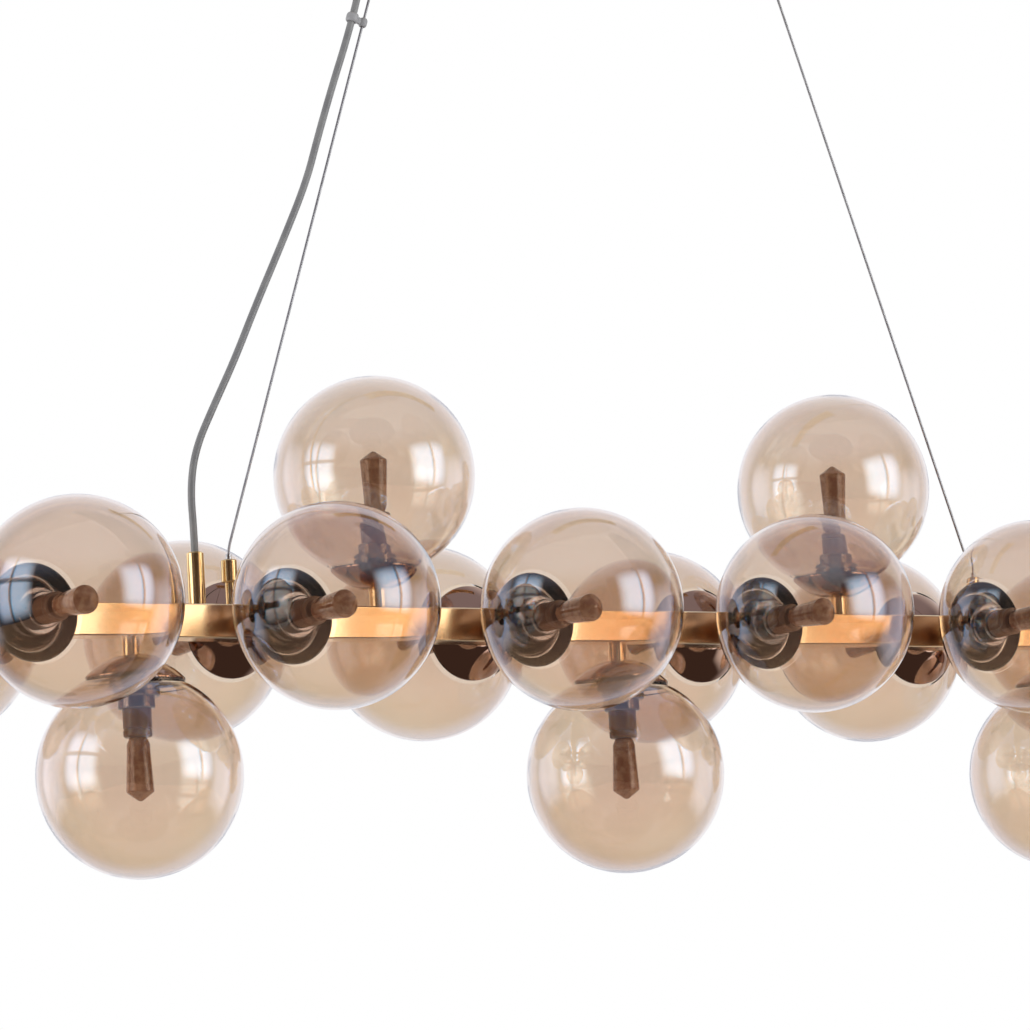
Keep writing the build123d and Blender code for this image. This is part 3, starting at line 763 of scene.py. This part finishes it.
@dataclass
class LampFittings:
    """Stem, cap, carrier, lampholder and bulb of every lamp, along its axis from the bar's axis."""

    finishes: Finishes
    stem_start: float = 0.0125
    stem_radius: float = 0.0075
    stem_collar: float = 0.0012
    stem_groove: float = 0.0004
    hole_radius: float = 0.0052
    cap_start: float = 0.0275
    cap_rim: float = 0.0445
    cap_lip: float = 0.002
    cap_radius: float = 0.036
    cap_seat_radius: float = 0.011
    cap_wall: float = 0.0012
    bead_radii: tuple[float, ...] = (0.0322, 0.0265)
    bead_widths: tuple[float, ...] = (0.0018, 0.0044)
    bead_slope: float = 0.35
    bead_steps: int = 8
    bead_gap_steps: int = 3
    carrier_flange: float = 0.0365
    carrier_foot_radius: float = 0.0095
    carrier_radius: float = 0.0175
    carrier_shoulder: float = 0.055
    collar_radius: float = 0.0135
    carrier_end: float = 0.0635
    carrier_chamfer: float = 0.001
    thread_depth: float = 0.0006
    thread_pitch: float = 0.0022
    thread_turns: int = 4
    thread_shares: tuple[float, ...] = (0.5, 0.6, 0.9)
    holder_start: float = 0.042
    holder_end: float = 0.084
    holder_radius: float = 0.0105
    holder_gap: float = 0.00025
    holder_chamfer: float = 0.0012
    groove_depth: float = 0.0006
    groove_place: float = 0.006
    groove_half: float = 0.0008
    groove_floor_half: float = 0.0004
    bulb_tip: float = 0.130
    bulb_radius: float = 0.0103
    bulb_neck_radius: float = 0.0063
    bulb_waist_radius: float = 0.0085
    bulb_waist_height: float = 0.005
    bulb_body_radius: float = 0.0087
    bulb_body_height: float = 0.013
    bulb_point: float = 0.0065
    bulb_tip_radius: float = 0.0013
    softened: float = 0.0004
    round_steps: int = 72
    cap_steps: int = 96
    carrier_steps: int = 56
    arc_steps: int = 14

    def stem(self) -> Mesh:
        """Makes a stem with a fine collar at each end."""
        collar = self.stem_collar
        waist = self.stem_radius - self.stem_groove
        outline = [
            (self.hole_radius, self.stem_start),
            (self.stem_radius, self.stem_start),
            (self.stem_radius, self.stem_start + collar),
            (waist, self.stem_start + collar),
            (waist, self.cap_start - collar),
            (self.stem_radius, self.cap_start - collar),
            (self.stem_radius, self.cap_start),
            (self.hole_radius, self.cap_start),
        ]
        return turn(outline, self.round_steps, self.softened / 2)

    def cap(self) -> Mesh:
        """Makes a domed cap with a flat seat, a straight lip and beads inside."""
        shoulder = self.cap_rim - self.cap_lip
        spread = self.cap_radius**2 - self.cap_seat_radius**2 + shoulder**2 - self.cap_start**2
        centre = spread / (2 * (shoulder - self.cap_start))
        outer = math.hypot(self.cap_seat_radius, centre - self.cap_start)
        inner = outer - self.cap_wall
        inner_floor = self.cap_start + self.cap_wall
        inner_seat = math.sqrt(inner**2 - (centre - inner_floor) ** 2)
        inner_edge = self.cap_radius - self.cap_wall
        outline = [(self.hole_radius, self.cap_start)]
        outline += arc(centre, outer, self.cap_seat_radius, self.cap_radius, self.arc_steps)
        outline += [(self.cap_radius, self.cap_rim), (inner_edge, self.cap_rim)]
        reached = inner_edge
        for bead, width in zip(self.bead_radii, self.bead_widths):
            outline += arc(centre, inner, reached, bead + width / 2, self.bead_gap_steps)
            for step in range(1, self.bead_steps):
                share = 1 - 2 * step / self.bead_steps
                reached = bead + share * width / 2
                lifted = inner - self.bead_slope * width / 2 * (1 - share**2)
                outline.append((reached, centre - math.sqrt(lifted**2 - reached**2)))
            reached = bead - width / 2
        outline += arc(centre, inner, reached, inner_seat, self.arc_steps)
        outline += [(self.hole_radius, inner_floor)]
        mesh = turn(outline, self.cap_steps, self.softened / 2)
        hollow = mesh.verts.layers.float.new("hollow")
        for point in mesh.verts:
            within = (point.co - Vector((0, 0, centre))).length < outer - self.cap_wall / 2
            point[hollow] = 1.0 if within else 0.0
        return mesh

    def carrier(self) -> Mesh:
        """Makes a carrier: a foot, then the wide part with the thread for the globe."""
        floor = self.cap_start + self.cap_wall
        bore = self.holder_radius + self.holder_gap
        root = self.carrier_radius - self.thread_depth
        pitch = self.thread_pitch
        chamfer = self.carrier_chamfer
        outline = [
            (self.hole_radius, floor),
            (self.carrier_foot_radius, floor),
            (self.carrier_foot_radius, self.carrier_flange),
        ]
        for index in range(self.thread_turns):
            low = self.carrier_flange + index * pitch
            crest, fall, rise = (low + pitch * share for share in self.thread_shares)
            outline += [(self.carrier_radius, low), (self.carrier_radius, crest)]
            outline += [(root, fall), (root, rise)]
        outline += [
            (self.carrier_radius, self.carrier_flange + self.thread_turns * pitch),
            (self.carrier_radius, self.carrier_shoulder - chamfer),
            (self.carrier_radius - chamfer, self.carrier_shoulder),
            (self.collar_radius, self.carrier_shoulder),
            (self.collar_radius, self.carrier_end - chamfer),
            (self.collar_radius - chamfer, self.carrier_end),
            (bore, self.carrier_end),
            (bore, self.holder_start),
            (self.hole_radius, self.holder_start),
        ]
        return turn(outline, self.carrier_steps, self.softened / 4)

    def holder(self) -> Mesh:
        """Makes a lampholder with a groove near its mouth."""
        groove = self.holder_end - self.groove_place
        inside = self.holder_radius - self.groove_depth
        outline = [
            (0, self.holder_start),
            (self.holder_radius, self.holder_start),
            (self.holder_radius, groove - self.groove_half),
            (inside, groove - self.groove_floor_half),
            (inside, groove + self.groove_floor_half),
            (self.holder_radius, groove + self.groove_half),
            (self.holder_radius, self.holder_end - self.holder_chamfer),
            (self.holder_radius - self.holder_chamfer, self.holder_end),
            (0, self.holder_end),
        ]
        return turn(outline, self.round_steps, self.softened / 2, closed=False)

    def bulb(self) -> Mesh:
        """Makes a capsule bulb: a narrow neck, a body that widens towards its end and a blunt point."""
        outline = [
            (0, self.holder_end),
            (self.bulb_neck_radius, self.holder_end),
            (self.bulb_waist_radius, self.holder_end + self.bulb_waist_height),
            (self.bulb_body_radius, self.holder_end + self.bulb_body_height),
            (self.bulb_radius, self.bulb_tip - self.bulb_point),
            (self.bulb_tip_radius, self.bulb_tip),
            (0, self.bulb_tip),
        ]
        return turn(outline, self.round_steps, self.softened * 2, closed=False)

    def build(self) -> None:
        """Makes the fittings of all the lamps."""
        whole_sets = [
            ("stems", self.stem(), self.finishes.rose_gold, Slot.ROSE_GOLD),
            ("globe_carriers", self.carrier(), self.finishes.gunmetal, Slot.GUNMETAL),
            ("lampholders", self.holder(), self.finishes.ceramic, Slot.CERAMIC),
        ]
        for node, mesh, material, slot in whole_sets:
            whole = gathered((mesh, place) for place in every_lamp())
            show(whole, node, "turned", HANGING_BODY, material)
            mesh.free()
        side_sets = [
            ("caps", self.cap(), self.finishes.cap_plate, Slot.GUNMETAL),
            ("bulbs", self.bulb(), self.finishes.bulb, Slot.BULB),
        ]
        for kind, mesh, material, slot in side_sets:
            for side in Side:
                whole = gathered((mesh, place) for place in lamp_places(side))
                show(whole, f"{side.word}_{kind}", "turned", HANGING_BODY, material)
            mesh.free()


@dataclass
class Suspension:
    """Steel cables from the grippers on the bar up to the ferrules under the canopy."""

    finishes: Finishes
    bar_height: float = -0.548
    gripper_x: float = 0.338
    exit_x: float = 0.179
    pivot_height: float = -0.031
    foot: float = 0.0225
    bend: float = 0.054
    past_pivot: float = 0.0032
    diameter: float = 0.002
    length: float = 0.5242
    guide_step: float = 0.012

    def direction(self, side: int) -> Vector:
        """Unit vector up the straight run of one cable."""
        start = Vector((side * self.gripper_x, 0, self.bar_height + self.bend))
        return (Vector((side * self.exit_x, 0, self.pivot_height)) - start).normalized()

    def route(self, side: int) -> list[Vector]:
        """Points of one cable, from inside its gripper to its ball end.

        Args:
            side: -1 for the left cable and 1 for the right one.

        Returns:
            The spline's control points.
        """
        x = side * self.gripper_x
        bend = Vector((x, 0, self.bar_height + self.bend))
        up = self.direction(side)
        return [
            Vector((x, 0, self.bar_height + self.foot)),
            bend - Vector((0, 0, self.guide_step)),
            bend,
            bend + up * self.guide_step,
            Vector((side * self.exit_x, 0, self.pivot_height)) + up * self.past_pivot,
        ]

    def build(self) -> None:
        """Makes both cables."""
        for name, side in (("left", -1), ("right", 1)):
            route = self.route(side)
            node = f"{name}_cable"
            cable = spline_cord(node, "strand", route, self.diameter, self.finishes.cable)


@dataclass
class PowerCord:
    """Grey mains cord from the gland on the bar to the bushing under the canopy, with its clip.

    Its points give X and the height above the bar's axis.
    """

    finishes: Finishes
    suspension: Suspension
    diameter: float = 0.0055
    length: float = 0.5192
    points: tuple[Pair, ...] = (
        (-0.366, 0.034),
        (-0.366, 0.066),
        (-0.3674, 0.098),
        (-0.3615, 0.128),
        (-0.3445, 0.160),
        (-0.325, 0.195),
        (-0.3055, 0.235),
        (-0.280, 0.284),
        (-0.2565, 0.331),
        (-0.2445, 0.366),
        (-0.230, 0.405),
        (-0.2153, 0.4415),
        (-0.2032, 0.4765),
        (-0.1982, 0.4975),
    )
    end: Point = (-0.197, 0.0, -0.0306)
    clip_run: int = 11
    clip_height: float = 0.007
    cord_ring_wall: float = 0.0018
    cable_ring_wall: float = 0.002
    ring_gap: float = 0.00015
    ring_flat: float = 0.6
    ring_side: float = 0.55
    ring_steps: int = 40
    ring_softened: float = 0.0005
    web_thickness: float = 0.003
    web_share: float = 0.7
    web_softened: float = 0.0004

    def route(self) -> list[Vector]:
        """Points of the cord, from the gland to its end."""
        base = self.suspension.bar_height
        return [Vector((x, 0, base + height)) for x, height in self.points] + [Vector(self.end)]

    def ring(self, bore: float, wall: float) -> Mesh:
        """Makes one ring of the clip, rounded like a bead."""
        half = self.clip_height / 2
        side = half * self.ring_side
        outline = [
            (bore, -half),
            (bore + wall * self.ring_flat, -half),
            (bore + wall, -side),
            (bore + wall, side),
            (bore + wall * self.ring_flat, half),
            (bore, half),
        ]
        return turn(outline, self.ring_steps, self.ring_softened)

    def clip(self) -> Piece:
        """Makes the clip that holds the cord to the left cable."""
        route = self.route()
        start, end = route[self.clip_run], route[self.clip_run + 1]
        middle = (start + end) / 2
        along_cord = (end - start).normalized()
        up = self.suspension.direction(-1)
        pivot = Vector((-self.suspension.exit_x, 0, self.suspension.pivot_height))
        beside = pivot + up * (middle - pivot).dot(up)
        reach = beside - middle
        web = bmesh.new()
        bmesh.ops.create_cube(web, size=1.0)
        span = reach.length - self.diameter / 2 - self.suspension.diameter / 2
        size = (span, self.web_thickness, self.clip_height * self.web_share)
        bmesh.ops.scale(web, vec=size, verts=web.verts)
        soften(web, self.web_softened)
        across = reach.normalized()
        tilt = Matrix((across, (0, 1, 0), across.cross(Vector((0, 1, 0))))).transposed().to_4x4()
        centre = middle + across * (self.diameter / 2 + span / 2)
        rings = [
            (self.ring(self.diameter / 2 + self.ring_gap, self.cord_ring_wall), middle, along_cord),
            (self.ring(self.suspension.diameter / 2 + self.ring_gap, self.cable_ring_wall), beside, up),
        ]
        parts = [(web, Matrix.Translation(centre) @ tilt)]
        for mesh, place, direction in rings:
            lean = Vector((0, 0, 1)).rotation_difference(direction).to_matrix().to_4x4()
            parts.append((mesh, Matrix.Translation(place) @ lean))
        whole = gathered(parts)
        return show(whole, "cord_clip", "beads", HANGING_BODY, self.finishes.clip)

    def build(self) -> None:
        """Makes the cord and its clip."""
        clip = self.clip()
        route = self.route()
        cord = spline_cord("power_cord", "jacket", route, self.diameter, self.finishes.cord)


@dataclass
class GripperSprings:
    """Coil springs in the grippers, under the release plungers."""

    zinc: Material
    travel: float = 0.0025

    def build(self) -> None:
        """Makes a spring under each plunger."""
        for side in ("left", "right"):
            node = f"{side}_gripper_spring"
            low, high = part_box(node)
            mesh = bmesh.new()
            mesh.from_mesh(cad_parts[node].data)
            bmesh.ops.remove_doubles(mesh, verts=mesh.verts, dist=MERGE_DISTANCE)
            spring = show(mesh, node, "coil", HANGING_BODY, self.zinc, flats=False)
            keep = 1 - self.travel / (high.z - low.z)
            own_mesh(spring)


@dataclass
class CarriedOver:
    """Nodes of the frame that keep their shape and get a finish."""

    finishes: Finishes

    def slots(self) -> dict[Slot, list[str]]:
        """Nodes by the slot of their finish."""
        return {
            Slot.ROSE_GOLD: ["main_bar", "bar_end_plugs", "canopy_cover", "cover_screws"]
            + ["cable_ferrules", "cord_bushing"],
            Slot.YELLOW_GOLD: ["cord_gland_base", "cord_gland_cap"]
            + ["left_gripper_body", "right_gripper_body"],
            Slot.ZINC: ["hollow_rods", "rod_nuts", "gripper_nuts", "canopy_nuts", "ceiling_bracket"]
            + ["terminal_screws", "earth_screw", "cable_ball_ends", "left_plunger", "right_plunger"]
            + ["left_gripper_balls", "right_gripper_balls"],
            Slot.CORD: ["supply_lead"],
            Slot.WIRE: ["wiring_harness"],
            Slot.TERMINAL: ["terminal_block"],
        }

    def build(self) -> None:
        """Gives each node its finish."""
        materials = self.finishes.by_slot()
        for slot, names in self.slots().items():
            for name in names:
                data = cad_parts[name].data
                data.materials.clear()
                data.materials.append(materials[slot])
                LOG.info("%s: %s", name, materials[slot].name)


@dataclass(frozen=True)
class PhotoCamera:
    """Camera at the photograph's place: metres, degrees and pixels of its square frame."""

    place: Point = (-2.44927, -3.65354, -0.99913)
    yaw: float = 32.8825
    pitch: float = 7.0265
    roll: float = 3.0115
    focal_pixels: float = 5811.18
    frame_pixels: float = 1030.0
    sensor: float = 36.0
    far_limit: float = 100.0

    def axes(self) -> Matrix:
        """Camera's right, up and backward directions as the columns of a turn."""
        yaw, pitch, roll = (math.radians(angle) for angle in (self.yaw, self.pitch, self.roll))
        ahead = math.cos(pitch)
        forward = Vector((math.sin(yaw) * ahead, math.cos(yaw) * ahead, math.sin(pitch)))
        level = Vector((math.cos(yaw), -math.sin(yaw), 0))
        down = forward.cross(level)
        right = level * math.cos(roll) + down * math.sin(roll)
        below = down * math.cos(roll) - level * math.sin(roll)
        return Matrix((right, -below, -forward)).transposed()

    def build(self) -> None:
        """Makes the scene's camera."""
        data = bpy.data.cameras.new("photo_camera")
        data.sensor_width = self.sensor
        data.lens = self.sensor * self.focal_pixels / self.frame_pixels
        data.clip_end = self.far_limit
        camera = bpy.data.objects.new("photo_camera", data)
        camera.matrix_world = Matrix.Translation(self.place) @ self.axes().to_4x4()
        bpy.context.scene.collection.objects.link(camera)
        bpy.context.scene.camera = camera


@dataclass(frozen=True)
class Softbox:
    """Window-like lamp, placed by its highlight on a globe in radii right and up from the centre."""

    name: str
    highlight: Pair
    width: float
    height: float
    radiance: float
    colour: Colour
    feather: float
    upright_bar: float | None = None
    cross_bar: float | None = None
    bar_half: float = 0.045
    bar_shade: float = 0.75
    distance: float = 2.4

    def _along(self, across: Wire, bar: float | None) -> Wire:
        """Brightness along one side of the lamp.

        Args:
            across: place along the side, from 0 to 1.
            bar: place of a window bar, or None.

        Returns:
            A share that fades towards both ends and at the bar.
        """
        faded = (across * (1.0 - across)).ramp(0.0, self.feather * (1 - self.feather))
        if bar is None:
            return faded
        offset = across - bar
        beside = (offset * offset).ramp(0.0, self.bar_half**2)
        return faded * (beside * self.bar_shade + (1 - self.bar_shade))

    def _dress(self, light: bpy.types.AreaLight) -> None:
        """Lets the light fade towards its edges and behind its bars."""
        light.use_nodes = True
        board = ShaderBoard(light.node_tree)
        place = board.node("ShaderNodeNewGeometry", output="Parametric")
        across = board.node("ShaderNodeSeparateXYZ", {0: place}, "X")
        upward = board.node("ShaderNodeSeparateXYZ", {0: place}, "Y")
        strength = self._along(across, self.upright_bar) * self._along(upward, self.cross_bar)
        glow = board.node("ShaderNodeEmission", {"Color": (*self.colour, 1.0), "Strength": strength})
        board.node("ShaderNodeOutputLight", {"Surface": glow})

    def direction(self, camera: PhotoCamera) -> Vector:
        """Direction from the chandelier to the lamp."""
        x, y = self.highlight
        normal = Vector((x, y, math.sqrt(1 - x * x - y * y)))
        mirrored = normal * (2 * normal.z) - Vector((0, 0, 1))
        return camera.axes() @ mirrored

    def build(self, camera: PhotoCamera, target: Vector) -> None:
        """Makes the lamp.

        Args:
            camera: the photograph's camera.
            target: point that the lamp faces.
        """
        away = self.direction(camera)
        data = bpy.data.lights.new(self.name, "AREA")
        data.shape = "RECTANGLE"
        data.size = self.width
        data.size_y = self.height
        data.energy = self.radiance * math.pi * self.width * self.height
        self._dress(data)
        lamp = bpy.data.objects.new(self.name, data)
        facing = away.to_track_quat("Z", "Y").to_matrix().to_4x4()
        lamp.matrix_world = Matrix.Translation(target + away * self.distance) @ facing
        lamp.visible_camera = False
        bpy.context.scene.collection.objects.link(lamp)


@dataclass
class Studio:
    """Room with a white backdrop, a dim end behind the camera, a pale floor and window-like softboxes."""

    camera: PhotoCamera
    floor_height: float = -2.4
    floor_half: float = 6.0
    floor_colour: Colour = (0.80, 0.77, 0.75)
    floor_fade: Pair = (3.0, 5.4)
    floor_white: float = 0.92
    floor_patch: float = 0.5
    floor_shade: float = 0.95
    backdrop: Colour = (0.95, 0.95, 1.0)
    ceiling: Colour = (0.44, 0.43, 0.51)
    dim_end: Colour = (0.09, 0.062, 0.052)
    ceiling_rise: Pair = (0.25, 0.75)
    backdrop_edge: Pair = (-0.85, -0.30)
    fill: float = 0.75
    bounces: int = 32
    glossy_bounces: int = 8

    def world(self) -> None:
        """Makes the room: white straight ahead, a dim end for reflections and an even fill."""
        world = bpy.data.worlds.new("studio")
        world.use_nodes = True
        world.cycles.sampling_method = "NONE"
        bpy.context.scene.world = world
        board = ShaderBoard(world.node_tree)
        direction = board.node("ShaderNodeTexCoord", output="Generated")
        height = board.node("ShaderNodeSeparateXYZ", {0: direction}, "Z")
        inputs = {0: direction, 1: self.camera.axes() @ Vector((0, 0, 1))}
        frontness = board.node("ShaderNodeVectorMath", inputs, "Value", operation="DOT_PRODUCT")
        front = board.colours(height.ramp(*self.ceiling_rise), self.dim_end, self.ceiling)
        room = board.colours(frontness.ramp(*self.backdrop_edge), self.backdrop, front)
        walls = board.node("ShaderNodeBackground", {"Color": room, "Strength": 1.0})
        even = board.node("ShaderNodeBackground", {"Color": WHITE, "Strength": self.fill})
        white = board.node("ShaderNodeBackground", {"Color": WHITE, "Strength": 1.0})
        scattered = board.path("Diffuse Depth") > 0.5
        lit = board.node("ShaderNodeMixShader", {0: scattered, 1: walls, 2: even})
        both = board.node("ShaderNodeMixShader", {0: board.straight(), 1: lit, 2: white})
        board.node("ShaderNodeOutputWorld", {"Surface": both})

    def _floor_surface(self, board: ShaderBoard) -> Wire:
        """Adds the floor's nodes: pale, white to the camera far from the object, and open from below."""
        cloud = board.noise(self.floor_patch, detail=3.0)
        shaded = tuple(self.floor_shade * part for part in self.floor_colour)
        colour = board.colours(cloud, self.floor_colour, shaded)
        pale = board.node("ShaderNodeBsdfDiffuse", {"Color": colour})
        white = board.node("ShaderNodeEmission", {"Color": WHITE, "Strength": 1.0})
        away = board.node("ShaderNodeVectorMath", {0: board.place()}, "Value", operation="LENGTH")
        whitened = away.ramp(*self.floor_fade) * (1 - self.floor_white) + self.floor_white
        top = board.node("ShaderNodeMixShader", {0: board.straight() * whitened, 1: pale, 2: white})
        clear = board.node("ShaderNodeBsdfTransparent")
        below = board.node("ShaderNodeNewGeometry", output="Backfacing")
        return board.node("ShaderNodeMixShader", {0: below, 1: top, 2: clear})

    def floor(self) -> None:
        """Makes the floor."""
        mesh = bmesh.new()
        bmesh.ops.create_grid(mesh, x_segments=1, y_segments=1, size=self.floor_half)
        bmesh.ops.translate(mesh, verts=mesh.verts, vec=(0, 0, self.floor_height))
        data = bpy.data.meshes.new("floor")
        mesh.to_mesh(data)
        mesh.free()
        data.materials.append(new_material("pale_floor", self._floor_surface))
        floor = bpy.data.objects.new("floor", data)
        floor.visible_glossy = False
        bpy.context.scene.collection.objects.link(floor)

    def build(self) -> None:
        """Makes the room, the lamps and the light path settings."""
        low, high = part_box("main_bar")
        middle = (low + high) / 2
        softboxes = [
            Softbox("left_window", (-0.53, 0.10), 1.8, 2.2, 3.0, (0.97, 0.98, 1.0), 0.3, 0.45, 0.6),
            Softbox("right_window", (0.52, 0.16), 2.4, 2.1, 3.5, (0.95, 0.98, 1.0), 0.35, 0.6),
            Softbox("left_side", (-0.78, -0.02), 2.0, 2.6, 1.4, (0.93, 0.96, 1.0), 0.5),
            Softbox("right_side", (0.78, -0.10), 2.0, 2.6, 1.2, (0.93, 0.96, 1.0), 0.5),
        ]
        for softbox in softboxes:
            softbox.build(self.camera, middle)
        self.floor()
        self.world()
        scene = bpy.context.scene
        scene.view_settings.view_transform = "Standard"
        scene.cycles.max_bounces = self.bounces
        scene.cycles.transmission_bounces = self.bounces
        scene.cycles.transparent_max_bounces = self.bounces
        scene.cycles.glossy_bounces = self.glossy_bounces


def main() -> None:
    """Builds the chandelier's looks piece by piece."""
    logging.basicConfig(level=logging.INFO, format="%(name)s: %(message)s")
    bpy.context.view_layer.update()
    camera = PhotoCamera()
    camera.build()
    finishes = Finishes.make()
    suspension = Suspension(finishes)
    suspension.build()
    PowerCord(finishes, suspension).build()
    Globes(finishes.glass, finishes.bare_glass).build()
    GripperSprings(finishes.zinc).build()
    LampFittings(finishes).build()
    CarriedOver(finishes).build()
    Studio(camera).build()


if __name__ == "__main__":
    main()
